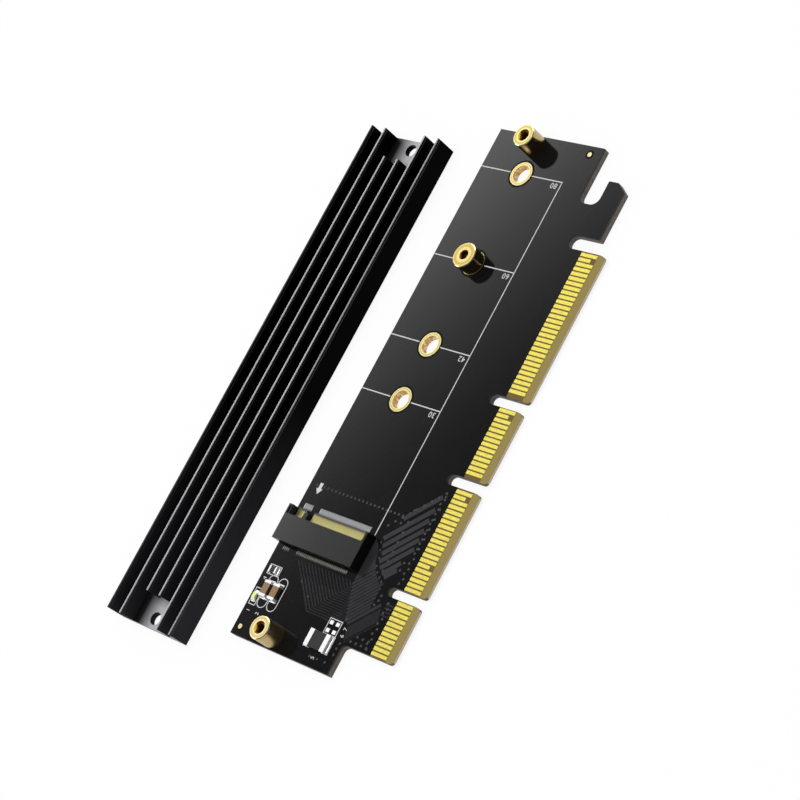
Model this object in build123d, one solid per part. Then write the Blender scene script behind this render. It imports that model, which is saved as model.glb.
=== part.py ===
from build123d import *
import os
from math import radians, tan

# Adapter card for a plug-in drive module, with its fin heatsink lying beside it.
# The card lies on its back face: +X runs along the contact edge towards the retention hook,
# +Y goes from the contact edge to the opposite long edge, +Z points out of the component side.
# The origin is the middle of the key notch, on the contact edge, at the level of the back face.
# The folder parts/ gets one STEP file for each separate piece.

# Board outline, in millimetres
board_thickness = 1.57
board_height = 40.65
board_left = 18.4
hook_end_margin = 6.3
station_end_margin = 8.5
lower_edge_height = 12.9
tongue_margin = 0.3
inner_corner_radius = 1.2
tip_corner_radius = 0.9
bevel_length = 1.3
bevel_angle = 20.0

# Notches in the tongue: the two end notches are placed from the pad position they replace
notch_depth = 9.1
key_notch_width = 1.9
end_notch_width = 2.1
first_notch_shift = -0.25
second_notch_shift = -0.45
notch_pad_clearance = 0.1

# Hooked retention tab, and the slot above it
hook_gap = 2.8
hook_gap_depth = 10.0
hook_length = 11.95
hook_bottom = 3.2
hook_chamfer_run = 1.6
hook_chamfer_rise = 2.3
hook_corner_radius = 0.3
latch_slot_depth = 5.4
latch_slot_bottom = 7.9
latch_slot_radius = 1.8

# Copper: every pad, ring and land has this height; on the back and at the edge it lies flush
copper_thickness = 0.05
pad_pitch = 1.0
pad_width = 0.7
pad_top = 5.6
pad_bottom = 1.5
short_pad_bottom = 2.6
first_pad_offset = 1.5

# Pads are numbered from the tongue's short end; the key lies after the first group
left_pad_count = 11
pad_count = 82
first_notch_pad_number = 34
second_notch_pad_number = 51
front_short_pad_numbers = (17, 31, 48, 81)
back_short_pad_numbers = (1,)

# Drive module: its seating edge, its stations and its size; one long side is flush with the board's
module_edge = 4.7
module_stations = (30, 42, 60, 80)
fitted_station = 60
module_width = 22.0
module_board_thickness = 0.8
module_underside = 1.0

# Plated holes at the stations
plated_bore = 3.8
plating_wall = 0.1
plating_clearance = 0.02
plated_ring_diameter = 5.15

# Brass foot and clamp nut at the fitted station
foot_clearance = 0.05
collar_diameter = 5.0
stud_diameter = 2.0
stud_rise = 1.6
nut_diameter = 5.3
nut_height = 2.35
nut_skirt_diameter = 4.9
nut_skirt_height = 0.6
nut_chamfer = 0.15
thread_clearance = 0.05

# Tall brass standoffs for the heatsink, placed from the board's two ends
near_standoff_inset = 2.55
far_standoff_inset = 2.35
standoff_diameter = 4.75
standoff_height = 4.4
standoff_bore = 2.05
standoff_mouth = 2.6
standoff_bore_depth = 4.8
shank_diameter = 3.4
shank_clearance = 0.05

# Socket housing; heights are above the board
rear_block = 3.55
cover_reach = 1.8
jaw_reach = 3.75
socket_height = 2.25
slot_end_margin = 1.0
socket_low_wall = 1.3
socket_high_wall = 1.0
mouth_low_wall = 0.55
slot_clearance = 0.15
slot_play = 0.05
groove_wall = 0.35
key_rib_width = 1.05
key_rib_offset = 6.125
key_rib_setback = 0.6
pocket_wall = 0.3
pocket_depth = 1.2

# Socket contacts: one pitch for both rows, the rows are staggered by half of it
contact_pitch = 0.5
contact_width = 0.22
contact_thickness = 0.13
contact_end_margin = 0.75
contact_key_clearance = 1.0
front_tail = 1.15
rear_tail = 0.9
spring_tuck = 0.15
channel_clearance = 0.04
bump_rise = 0.3
bump_length = 0.9

# Chip parts: length, width, height, length of one metal end
capacitor_size = (3.2, 1.65, 0.9)
capacitor_end = 0.5
capacitor_inset = 10.1
capacitor_edge_distances = (3.7, 6.25)
led_size = (1.6, 0.85, 0.5)
led_end = 0.28
led_carrier_share = 0.4
led_inset = 8.15
led_edge_distance = 1.45
resistor_size = (2.0, 1.25, 0.5)
resistor_end = 0.4
resistor_inset = 14.0
resistor_edge_distance = 2.7
fuse_size = (5.5, 3.4, 0.65)
fuse_end = 1.1
fuse_inset = 5.0
fuse_edge_distance = 5.6
end_wrap = 0.04
land_overhang = 0.35
fuse_land_overhang = 0.6
land_side_margin = 0.1
spare_land_size = (0.75, 0.9)
spare_land_pitch = 1.7
spare_land_insets = (7.53, 9.13)
spare_land_edge_distance = 4.2

# Round location marks
fiducial_diameter = 1.0
fiducial_end_inset = 1.8
upper_fiducial_inset = 1.65
lower_fiducial_inset = 2.8

# Heatsink: one extrusion, lying on its base beside the card
heatsink_width = 20.0
heatsink_height = 5.15
heatsink_base = 1.3
heatsink_fins = 6
fin_thickness = 0.5
fin_edge = 0.1
heatsink_end_margin = 2.15
middle_fin_setback = 6.1
heatsink_hole = 2.7
heatsink_offset = -5.95
heatsink_gap = 10.75

# How far a cutting tool runs past the material
overrun = 1.0

# Contact pads and tongue, as they follow from the values above
first_pad_x = -first_pad_offset - (left_pad_count - 1) * pad_pitch
last_pad_x = first_pad_offset + (pad_count - left_pad_count - 1) * pad_pitch
tongue_left = tongue_margin + pad_width / 2 - first_pad_x
tongue_right = last_pad_x + pad_width / 2 + tongue_margin
hook_left = tongue_right + hook_gap
hook_right = hook_left + hook_length
latch_slot_end = hook_right - latch_slot_depth

# Board
board_right = max(hook_right + hook_end_margin, module_edge + max(module_stations) + station_end_margin)
board_length = board_left + board_right
board_top = board_thickness
bevel_depth = bevel_length * tan(radians(bevel_angle))
plated_hole = plated_bore + 2 * plating_wall + 2 * plating_clearance
ring_recess = plated_ring_diameter + 2 * plating_clearance
ring_top = board_top + copper_thickness

# Module, socket and standoffs
module_line = board_height - module_width / 2
near_standoff_x = near_standoff_inset - board_left
far_standoff_x = board_right - far_standoff_inset
standoff_spacing = far_standoff_x - near_standoff_x
standoff_holes = ((near_standoff_x, module_line), (far_standoff_x, module_line))
slot_floor = module_underside - slot_play
slot_ceiling = module_underside + module_board_thickness + slot_play
jaw_top = slot_floor - contact_thickness
slot_back = module_edge - slot_clearance
socket_back = slot_back - rear_block
cover_front = slot_back + cover_reach
socket_front = slot_back + jaw_reach
slot_low = module_line - module_width / 2 + slot_end_margin
slot_high = module_line + module_width / 2 - slot_end_margin
socket_low = slot_low - socket_low_wall
socket_high = slot_high + socket_high_wall
key_line = module_line + key_rib_offset
comb_rib_width = contact_pitch - contact_width - 2 * channel_clearance

# Chips, placed from the board's end and from its long edges
capacitor_x = capacitor_inset - board_left
capacitor_rows = [board_height - distance for distance in capacitor_edge_distances]
led_place = (led_inset - board_left, board_height - led_edge_distance)
resistor_place = (resistor_inset - board_left, board_height - resistor_edge_distance)
fuse_place = (fuse_inset - board_left, lower_edge_height + fuse_edge_distance)
spare_line = lower_edge_height + spare_land_edge_distance
spare_places = [(inset - board_left, spare_line) for inset in spare_land_insets]
fiducial_places = (
    (fiducial_end_inset - board_left, board_height - upper_fiducial_inset),
    (board_right - fiducial_end_inset, lower_edge_height + lower_fiducial_inset),
)

# Heatsink
heatsink_length = standoff_spacing + 2 * heatsink_end_margin
heatsink_centre = (near_standoff_x + far_standoff_x) / 2 + heatsink_offset
heatsink_left = heatsink_centre - heatsink_length / 2
heatsink_right = heatsink_centre + heatsink_length / 2
heatsink_low = board_height + heatsink_gap
heatsink_line = heatsink_low + heatsink_width / 2
fin_pitch = (heatsink_width - fin_thickness) / (heatsink_fins - 1)


def block(x0, x1, y0, y1, z0, z1):
    """A box between two corners."""
    centre = ((x0 + x1) / 2, (y0 + y1) / 2, (z0 + z1) / 2)
    return Pos(*centre) * Box(x1 - x0, y1 - y0, z1 - z0)


def rod(x, y, diameter, z0, z1):
    """An upright cylinder between two levels."""
    return Pos(x, y, (z0 + z1) / 2) * Cylinder(diameter / 2, z1 - z0)


def turned(x, y, profile):
    """A turned piece: the profile's (radius, level) points spun about an upright axis."""
    outline = Polyline(*[(radius, 0, level) for radius, level in profile], close=True)
    return Pos(x, y, 0) * revolve(make_face(outline), Axis.Z)


def pad_x(number):
    """Place of a contact pad along the edge: the key notch lies between two groups."""
    if number <= left_pad_count:
        return first_pad_x + (number - 1) * pad_pitch
    return last_pad_x - (pad_count - number) * pad_pitch


def station_x(station):
    """Place of the plated hole for a module of this length."""
    return module_edge + station


def round_notch(centre, width, depth):
    """A notch cut up from the contact edge, with a full-round end."""
    straight = depth - width / 2
    lane = Pos(centre, -overrun) * Rectangle(width, straight + overrun, align=(Align.CENTER, Align.MIN))
    return lane + Pos(centre, straight) * Circle(width / 2)


# Circuit board


def tongue_gaps():
    """Centre and width of each gap between the tongue's segments."""
    return (
        (0.0, key_notch_width),
        (pad_x(first_notch_pad_number) + first_notch_shift, end_notch_width),
        (pad_x(second_notch_pad_number) + second_notch_shift, end_notch_width),
    )


def tongue_corners():
    """X of every outer corner at the tips of the tongue's segments."""
    corners = [-tongue_left, tongue_right]
    for centre, width in tongue_gaps():
        corners += [centre - width / 2, centre + width / 2]
    return corners


def board_outline():
    """The board's outline as one face: body, tongue and hooked tab, less the notches."""
    body = Pos(-board_left, lower_edge_height) * Rectangle(
        board_length, board_height - lower_edge_height, align=(Align.MIN, Align.MIN)
    )
    tongue = Pos(-tongue_left, 0) * Rectangle(
        tongue_left + tongue_right, lower_edge_height, align=(Align.MIN, Align.MIN)
    )
    tab_points = [
        (tongue_right, hook_gap_depth - hook_gap),
        (hook_left, hook_bottom),
        (hook_right - hook_chamfer_run, hook_bottom),
        (hook_right, hook_bottom + hook_chamfer_rise),
        (hook_right, lower_edge_height),
        (tongue_right, lower_edge_height),
    ]
    tab = make_face(Polyline(*tab_points, close=True))
    face = body + tongue + tab
    for centre, width in tongue_gaps():
        face -= round_notch(centre, width, notch_depth)
    face -= round_notch((tongue_right + hook_left) / 2, hook_gap, hook_gap_depth)
    slot_height = lower_edge_height - latch_slot_bottom
    slot_reach = board_right - latch_slot_end + latch_slot_radius
    slot = Pos(latch_slot_end, latch_slot_bottom) * RectangleRounded(
        slot_reach, slot_height, latch_slot_radius, align=(Align.MIN, Align.MIN)
    )
    beside_tab = Pos(hook_right, latch_slot_bottom) * Rectangle(
        slot_reach, slot_height, align=(Align.MIN, Align.MIN)
    )
    return face - slot - beside_tab


def round_upright_edges(solid, places, radius):
    """Fillet the upright edges that stand at the given (x, y) places."""
    picked = []
    for edge in solid.edges().filter_by(Axis.Z):
        middle = edge.center()
        if any(abs(middle.X - x) < 0.02 and abs(middle.Y - y) < 0.02 for x, y in places):
            picked.append(edge)
    return fillet(picked, radius)


def circuit_board():
    board = extrude(board_outline(), board_thickness)
    tips = [(x, 0.0) for x in tongue_corners()]
    board = round_upright_edges(board, tips, tip_corner_radius)
    board = round_upright_edges(board, [(-tongue_left, lower_edge_height)], inner_corner_radius)
    board = round_upright_edges(board, [(hook_right, latch_slot_bottom)], hook_corner_radius)
    # the contact edge is bare laminate on both faces, and its tip is bevelled from both sides
    start = -tongue_left - overrun
    end = tongue_right + hook_gap / 2
    bare = block(start, end, -overrun, pad_top, 0, copper_thickness)
    board -= bare
    board -= Pos(0, 0, board_thickness - copper_thickness) * bare
    bevel = [(0, 0), (bevel_length, 0), (0, bevel_depth)]
    wedge = make_face(Polyline(*[(start, y, z) for y, z in bevel], close=True))
    wedge = extrude(wedge, amount=end - start, dir=(1, 0, 0))
    wedge = Pos(0, 0, copper_thickness) * wedge
    board -= wedge
    board -= mirror(wedge, Plane.XY.offset(board_thickness / 2))
    for station in module_stations:
        x = station_x(station)
        board -= rod(x, module_line, plated_hole, -overrun, board_top + overrun)
        board -= rod(x, module_line, ring_recess, -overrun, copper_thickness)
    for x, y in standoff_holes:
        board -= rod(x, y, shank_diameter + 2 * shank_clearance, -overrun, board_top + overrun)
    return board


# Contact pads of the edge


def clear_of_notches(x):
    """A position has a pad only where the pad keeps clear of every notch."""
    for centre, width in tongue_gaps():
        if abs(x - centre) < (width + pad_width) / 2 + notch_pad_clearance:
            return False
    return True


def contact_pads(short, level):
    """The pads of one side: a row of flat bars, one a position that exists."""
    pads = []
    for number in range(1, pad_count + 1):
        x = pad_x(number)
        if not clear_of_notches(x):
            continue
        bottom = short_pad_bottom if number in short else pad_bottom
        pads.append(
            block(x - pad_width / 2, x + pad_width / 2, bottom, pad_top, level, level + copper_thickness)
        )
    return Compound(children=pads)


# Plated holes at the stations


def plated_hole_at(station):
    """A gold-plated hole: barrel wall, a ring on the component side and a flush one on the back."""
    bore = plated_bore / 2
    wall = bore + plating_wall
    ring = plated_ring_diameter / 2
    profile = [
        (bore, 0),
        (ring, 0),
        (ring, copper_thickness),
        (wall, copper_thickness),
        (wall, board_top),
        (ring, board_top),
        (ring, ring_top),
        (bore, ring_top),
    ]
    return turned(station_x(station), module_line, profile)


# Brass pieces


def module_standoff():
    """Foot of the module's post: shank in the plated hole, collar on the board, stud on top."""
    shank = plated_bore / 2 - foot_clearance
    collar = collar_diameter / 2
    stud = stud_diameter / 2
    collar_top = board_top + module_underside
    profile = [
        (0, 0),
        (shank, 0),
        (shank, ring_top),
        (collar, ring_top),
        (collar, collar_top),
        (stud, collar_top),
        (stud, collar_top + stud_rise),
        (0, collar_top + stud_rise),
    ]
    return turned(station_x(fitted_station), module_line, profile)


def module_clamp_nut():
    """Round cap nut on the stud: it clamps the module's end on the collar."""
    bottom = board_top + module_underside
    top = bottom + nut_height
    bore = stud_diameter / 2 + thread_clearance
    skirt = nut_skirt_diameter / 2
    head = nut_diameter / 2
    profile = [
        (bore, bottom),
        (skirt, bottom),
        (skirt, bottom + nut_skirt_height),
        (head, bottom + nut_skirt_height),
        (head, top - nut_chamfer),
        (head - nut_chamfer, top),
        (bore, top),
    ]
    return turned(station_x(fitted_station), module_line, profile)


def heatsink_standoff(x, y):
    """Round brass standoff: shank through the board, body on it, blind threaded bore."""
    shank = shank_diameter / 2
    body = standoff_diameter / 2
    bore = standoff_bore / 2
    mouth = standoff_mouth / 2
    top = board_top + standoff_height
    edge = nut_chamfer
    profile = [
        (0, 0),
        (shank, 0),
        (shank, board_top),
        (body, board_top),
        (body, top - edge),
        (body - edge, top),
        (mouth, top),
        (bore, top - (mouth - bore)),
        (bore, top - standoff_bore_depth),
        (0, top - standoff_bore_depth - bore / 2),
    ]
    return turned(x, y, profile)


# Drive module socket


def contact_places(shift):
    """Y of each contact of a row, from the far end; none stands near the key rib."""
    first = slot_high - contact_end_margin - shift
    last = slot_low + contact_end_margin
    count = int((first - last) / contact_pitch + 1.001)
    places = [first - index * contact_pitch for index in range(count)]
    return [y for y in places if abs(y - key_line) > contact_key_clearance]


def lower_places():
    return contact_places(0)


def upper_places():
    return contact_places(contact_pitch / 2)


def comb_ribs(floor, top):
    """Thin ribs between neighbouring contacts of the lower row."""
    ribs = []
    places = lower_places()
    for left, right in zip(places, places[1:]):
        if left - right < 1.5 * contact_pitch:
            y = (left + right) / 2
            half = comb_rib_width / 2
            ribs.append(block(slot_back, socket_front, y - half, y + half, floor, top))
    return ribs


def socket_housing():
    """Moulded body: cover over a deep slot, open lower jaw in front, end walls and key rib."""
    base = board_top
    floor = base + jaw_top
    ceiling = base + slot_ceiling
    top = base + socket_height
    body = block(socket_back, socket_front, socket_low, socket_high, base, top)
    body -= block(slot_back, socket_front + overrun, slot_low, slot_high, floor, ceiling)
    body -= block(
        cover_front, socket_front + overrun, slot_low, slot_high, base + slot_floor, top + overrun
    )
    # the low end wall is thinner beside the mouth than beside the slot
    body -= block(
        cover_front,
        socket_front + overrun,
        socket_low + mouth_low_wall,
        slot_low + overrun,
        base + slot_floor,
        top + overrun,
    )
    # moulded key rib in the slot, and a seat on the jaw under it
    half = key_rib_width / 2
    body += block(
        slot_back, socket_front - key_rib_setback, key_line - half, key_line + half, floor, ceiling
    )
    for rib in comb_ribs(floor, base + slot_floor):
        body += rib
    # open pocket in the end wall on the far side of the key
    pocket_low = slot_high + pocket_wall / 2
    body -= block(
        cover_front,
        socket_front - pocket_wall,
        pocket_low,
        socket_high - pocket_wall,
        top - pocket_depth,
        top + overrun,
    )
    # one groove for each contact of the upper row: through the rear block and on in the roof
    half = contact_width / 2 + channel_clearance
    groove_end = cover_front - groove_wall
    groove_top = ceiling + contact_thickness + channel_clearance
    for y in upper_places():
        body -= block(socket_back - overrun, groove_end, y - half, y + half, ceiling, groove_top)
    return body


def strip_contact(points):
    """A stamped strip: its centre line (x, level) thickened and given the contact's width."""
    ribbon = trace(Polyline(*points), contact_thickness)
    strip = extrude(ribbon, amount=contact_width / 2, both=True)
    return Rot(90, 0, 0) * strip


def socket_contacts_lower():
    """Front row: tail on the board, riser in front of the jaw, spring back over the jaw."""
    half = contact_thickness / 2
    riser = socket_front + half
    jaw = board_top + jaw_top + half
    bump = cover_front - spring_tuck
    points = [
        (riser + front_tail, board_top + half),
        (riser, board_top + half),
        (riser, jaw),
        (bump + bump_length, jaw),
        (bump, jaw + bump_rise),
    ]
    strip = strip_contact(points)
    return Compound(children=[Pos(0, y, 0) * strip for y in lower_places()])


def socket_contacts_upper():
    """Rear row: tail on the board, riser behind the block, spring under the roof."""
    half = contact_thickness / 2
    riser = socket_back - half
    level = board_top + slot_ceiling + half
    bump = cover_front - groove_wall - bump_length
    points = [
        (riser - rear_tail, board_top + half),
        (riser, board_top + half),
        (riser, level),
        (bump - bump_length / 2, level),
        (bump, level - bump_rise),
    ]
    strip = strip_contact(points)
    return Compound(children=[Pos(0, y, 0) * strip for y in upper_places()])


# Chip parts; each lies along X until it is turned


def chip_body(size):
    length, width, height = size
    half = length / 2 - end_wrap
    return block(-half, half, -width / 2, width / 2, end_wrap, end_wrap + height)


def chip_ends(size, end):
    """The two metal ends: caps that wrap round all sides of the body's ends."""
    length, width, height = size
    half = width / 2 + end_wrap
    cap = block(length / 2 - end, length / 2, -half, half, 0, height + 2 * end_wrap)
    cap -= chip_body(size)
    return Compound(children=[cap, Rot(0, 0, 180) * cap])


def chip_lands(size, end, overhang=land_overhang):
    """The two tinned lands under a chip: they reach out past its ends for the solder."""
    length, width, height = size
    half = width / 2 + land_side_margin
    land = block(length / 2 - end, length / 2 + overhang, -half, half, -copper_thickness, 0)
    return Compound(children=[land, Rot(0, 0, 180) * land])


def chip_place(x, y, turn=0):
    """Where a chip sits: on its lands, which stand on the board."""
    return Pos(x, y, board_top + copper_thickness) * Rot(0, 0, turn)


def led_body():
    """Lamp chip: a thin carrier with the clear moulded lens on it."""
    length, width, height = led_size
    carrier = chip_body((length, width, height * led_carrier_share))
    lens_half = length / 2 - led_end
    lens = block(
        -lens_half,
        lens_half,
        -width / 2,
        width / 2,
        end_wrap + height * led_carrier_share,
        end_wrap + height,
    )
    return carrier + lens


def led_ends():
    length, width, height = led_size
    return chip_ends((length, width, height * led_carrier_share), led_end)


def all_lands():
    """Every tinned land that carries a chip."""
    lands = []
    for y in capacitor_rows:
        lands.append(chip_place(capacitor_x, y) * chip_lands(capacitor_size, capacitor_end))
    lands.append(chip_place(*led_place) * chip_lands(led_size, led_end))
    lands.append(chip_place(*resistor_place, 90) * chip_lands(resistor_size, resistor_end))
    lands.append(chip_place(*fuse_place, 90) * chip_lands(fuse_size, fuse_end, fuse_land_overhang))
    return Compound(children=[solid for pair in lands for solid in pair.solids()])


def spare_lands():
    """The bare lands of the two places that carry no chip."""
    width, depth = spare_land_size
    lands = []
    for x, y in spare_places:
        for side in (-1, 1):
            middle = y + side * spare_land_pitch / 2
            lands.append(
                block(
                    x - width / 2,
                    x + width / 2,
                    middle - depth / 2,
                    middle + depth / 2,
                    board_top,
                    board_top + copper_thickness,
                )
            )
    return Compound(children=lands)


def fiducial_marks():
    top = board_top + copper_thickness
    return Compound(children=[rod(x, y, fiducial_diameter, board_top, top) for x, y in fiducial_places])


# Heatsink


def fin_y(index):
    """Middle of a fin, counted from the side next to the card."""
    return heatsink_low + fin_thickness / 2 + index * fin_pitch


def fin(index, setback):
    """One fin with broken top edges, cut back by the given length at both ends."""
    y = fin_y(index)
    half = fin_thickness / 2
    points = [
        (y - half, heatsink_base),
        (y - half, heatsink_height - fin_edge),
        (y - half + fin_edge, heatsink_height),
        (y + half - fin_edge, heatsink_height),
        (y + half, heatsink_height - fin_edge),
        (y + half, heatsink_base),
    ]
    start = heatsink_left + setback
    outline = make_face(Polyline(*[(start, y, z) for y, z in points], close=True))
    return extrude(outline, amount=heatsink_length - 2 * setback, dir=(1, 0, 0))


def heatsink():
    body = block(
        heatsink_left,
        heatsink_right,
        heatsink_low,
        heatsink_low + heatsink_width,
        0,
        heatsink_base,
    )
    middle = (heatsink_fins // 2 - 1, heatsink_fins // 2)
    for index in range(heatsink_fins):
        body += fin(index, middle_fin_setback if index in middle else 0)
    for side in (-1, 1):
        x = heatsink_centre + side * standoff_spacing / 2
        body -= rod(x, heatsink_line, heatsink_hole, -overrun, heatsink_base + overrun)
    return body


pieces = {
    "circuit_board": circuit_board(),
    "edge_contacts_front": contact_pads(front_short_pad_numbers, board_top - copper_thickness),
    "edge_contacts_back": contact_pads(back_short_pad_numbers, 0),
    "module_standoff": module_standoff(),
    "module_clamp_nut": module_clamp_nut(),
    "heatsink_standoff_near": heatsink_standoff(near_standoff_x, module_line),
    "heatsink_standoff_far": heatsink_standoff(far_standoff_x, module_line),
    "socket_housing": socket_housing(),
    "socket_contacts_lower": socket_contacts_lower(),
    "socket_contacts_upper": socket_contacts_upper(),
    "led_body": chip_place(*led_place) * led_body(),
    "led_ends": chip_place(*led_place) * led_ends(),
    "resistor_body": chip_place(*resistor_place, 90) * chip_body(resistor_size),
    "resistor_ends": chip_place(*resistor_place, 90) * chip_ends(resistor_size, resistor_end),
    "fuse_body": chip_place(*fuse_place, 90) * chip_body(fuse_size),
    "fuse_ends": chip_place(*fuse_place, 90) * chip_ends(fuse_size, fuse_end),
    "component_pads": all_lands(),
    "spare_pads": spare_lands(),
    "fiducial_marks": fiducial_marks(),
    "heatsink": heatsink(),
}
for station in module_stations:
    pieces[f"plated_hole_{station}"] = plated_hole_at(station)
for name, y in zip(("outer", "inner"), capacitor_rows):
    place = chip_place(capacitor_x, y)
    pieces[f"capacitor_body_{name}"] = place * chip_body(capacitor_size)
    pieces[f"capacitor_ends_{name}"] = place * chip_ends(capacitor_size, capacitor_end)

os.makedirs("parts", exist_ok=True)
for node, piece in pieces.items():
    export_step(piece, f"parts/{node}.step")
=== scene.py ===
# %% [markdown]
# # Drive module adapter card
# A long black circuit board with gold contacts along its lower edge, a socket near one end for a 22 mm
# drive module, three brass supports, a few soldered parts, and a finned heatsink that lies beside it.
# The shapes come from the CAD frame. The cells below give them their finishes, add what is too thin or
# too small for the solids (ink, buried tracks, solder, threads), and set up the studio.

# %% Load the CAD frame
import math

import bpy
import numpy as np
from mathutils import Matrix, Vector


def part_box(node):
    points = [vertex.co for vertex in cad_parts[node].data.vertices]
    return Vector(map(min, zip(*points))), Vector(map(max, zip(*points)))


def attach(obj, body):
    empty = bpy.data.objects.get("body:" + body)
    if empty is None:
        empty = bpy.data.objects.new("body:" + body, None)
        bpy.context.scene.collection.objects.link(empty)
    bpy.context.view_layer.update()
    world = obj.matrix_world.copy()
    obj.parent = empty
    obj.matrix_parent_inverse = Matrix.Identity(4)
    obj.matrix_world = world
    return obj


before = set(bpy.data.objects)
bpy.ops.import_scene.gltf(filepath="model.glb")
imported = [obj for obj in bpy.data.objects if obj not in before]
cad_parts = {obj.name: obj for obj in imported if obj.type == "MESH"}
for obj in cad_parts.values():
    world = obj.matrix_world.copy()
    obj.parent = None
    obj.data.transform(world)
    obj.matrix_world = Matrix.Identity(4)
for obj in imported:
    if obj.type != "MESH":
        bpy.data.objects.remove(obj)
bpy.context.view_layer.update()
MM = 0.001
print("CAD nodes:", len(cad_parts))

# %% [markdown]
# ## Places read from the CAD
# What follows is tied to the solids: to the level of the board's top, the centres of the plated holes and
# of the supports, and the boxes of the soldered parts.

# %% Measure the nodes
def node_box(name):
    """Lowest and highest corner of a CAD node, in mm."""
    low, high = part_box(name)
    return np.array(low) / MM, np.array(high) / MM


def node_centre(name):
    """Middle of a CAD node's box, in mm."""
    low, high = node_box(name)
    return (low + high) / 2


def read(items, field):
    """A vector field of a mesh's vertices or faces, as an array with one row for each."""
    values = np.empty(len(items) * 3)
    items.foreach_get(field, values)
    return values.reshape(-1, 3)


def node_points(name):
    """A CAD node's vertices, in mm."""
    return read(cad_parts[name].data.vertices, "co") / MM


def contact_lines(name):
    """Y of each contact of a socket row: the middle between its two side faces."""
    sides = np.unique(node_points(name)[:, 1].round(2))
    return sides.reshape(-1, 2).mean(axis=1)


BOARD_HIGH = node_box("circuit_board")[1]
BOARD_TOP = BOARD_HIGH[2]
HOLES = ("plated_hole_30", "plated_hole_42", "plated_hole_60", "plated_hole_80")
hole_centres = [node_centre(name)[:2] for name in HOLES]
SOCKET_LOW, SOCKET_HIGH = node_box("socket_housing")
mark_points = node_points("fiducial_marks")
near = mark_points[:, 0] < node_centre("fiducial_marks")[0]
MARKS = [(side.min(axis=0) + side.max(axis=0))[:2] / 2 for side in (mark_points[near], mark_points[~near])]
print("location marks:", np.round(MARKS, 2).tolist())
print("board top:", BOARD_TOP, "holes at x", [round(float(c[0]), 2) for c in hole_centres])

# %% [markdown]
# ## Small tools
# The shader tools turn an ordinary colour into the linear one that a shader takes, and add nodes with
# their settings and links. The surface tools build closed solids from whole arrays of points.

# %% Shader tools
def linear(colour):
    """A colour for a shader: an sRGB hex colour with each channel through the sRGB curve, or a neutral
    one from a number that is linear already."""
    if not isinstance(colour, str):
        return (colour, colour, colour, 1.0)
    channels = [int(colour[i:i + 2], 16) / 255 for i in (1, 3, 5)]
    curve = [c / 12.92 if c <= 0.04045 else ((c + 0.055) / 1.055) ** 2.4 for c in channels]
    return (*curve, 1.0)


def add(tree, kind, settings=None, links=None):
    """Adds a shader node. Settings that start with a small letter are properties, the others are sockets
    by name or number, and links gives the output that feeds each socket."""
    node = tree.nodes.new(kind)
    for name, value in (settings or {}).items():
        if isinstance(name, str) and name[0].islower():
            setattr(node, name, value)
        else:
            node.inputs[name].default_value = value
    for name, source in (links or {}).items():
        tree.links.new(source, node.inputs[name])
    return node


def ramp(tree, source, stops):
    """A colour ramp fed by source. Stops are (position, colour); returns its colour output."""
    node = add(tree, "ShaderNodeValToRGB", links={"Fac": source})
    elements = node.color_ramp.elements
    elements.remove(elements[1])
    elements[0].position = stops[0][0]
    elements[0].color = linear(stops[0][1])
    for position, colour in stops[1:]:
        elements.new(position).color = linear(colour)
    return node.outputs["Color"]


def shades(tree, source, dark, light):
    """Two shades of a colour, blended by a noise value, which stays mostly between 0.3 and 0.7."""
    return ramp(tree, source, [(0.3, dark), (0.7, light)])


def new_material(name, settings):
    """An empty material with one Principled shader in it. Returns the material, its tree and the shader."""
    material = bpy.data.materials.new(name)
    material.use_nodes = True
    tree = material.node_tree
    tree.nodes.clear()
    shader = add(tree, "ShaderNodeBsdfPrincipled", settings)
    add(tree, "ShaderNodeOutputMaterial", links={"Surface": shader.outputs["BSDF"]})
    return material, tree, shader


def feed(shader, output, socket="Base Color"):
    """Links an output to one of the shader's sockets."""
    shader.id_data.links.new(output, shader.inputs[socket])


def vectors(tree, operation, source, second=0.0):
    """The outputs of a Vector Math node on a vector output and a plain vector, or one number for all
    three of its parts."""
    settings = {"operation": operation, 1: np.broadcast_to(second, 3).tolist()}
    return add(tree, "ShaderNodeVectorMath", settings, {0: source}).outputs


def place(tree, scale=1.0, centre=(0, 0, 0)):
    """Object coordinates in mm, moved so that centre is the origin and then scaled, by one number or by
    one for each axis."""
    metres = add(tree, "ShaderNodeTexCoord").outputs["Object"]
    in_mm = vectors(tree, "MULTIPLY", metres, 1 / MM)[0]
    moved = vectors(tree, "SUBTRACT", in_mm, centre)[0]
    return vectors(tree, "MULTIPLY", moved, scale)[0]


def coordinate(tree, axis, vector=None):
    """One coordinate of a vector output, or else of the place in mm."""
    return add(tree, "ShaderNodeSeparateXYZ", links={"Vector": vector or place(tree)}).outputs[axis]


def from_axis(tree, name):
    """Distance in mm from the vertical axis of a round CAD node."""
    return vectors(tree, "LENGTH", place(tree, (1, 1, 0), (*node_centre(name)[:2], 0)))["Value"]


def noise(tree, where, detail=2.0, roughness=0.5):
    """Noise of about one blotch per unit of where, which is a vector output or else the scale of the
    place in mm; returns its value output."""
    vector = place(tree, where) if isinstance(where, (float, tuple)) else where
    settings = {"Scale": 1.0, "Detail": detail, "Roughness": roughness}
    return add(tree, "ShaderNodeTexNoise", settings, {"Vector": vector}).outputs[0]


def rise(tree, source, start, end, low=0.0, high=1.0):
    """Maps start to end onto low to high, and holds the value beyond them."""
    settings = {"From Min": start, "From Max": end, "To Min": low, "To Max": high}
    return add(tree, "ShaderNodeMapRange", settings, {"Value": source}).outputs[0]


def spread(tree, source, low, high):
    """Maps a noise value, which stays mostly between 0.3 and 0.7, onto low to high."""
    return rise(tree, source, 0.3, 0.7, low, high)


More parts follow.
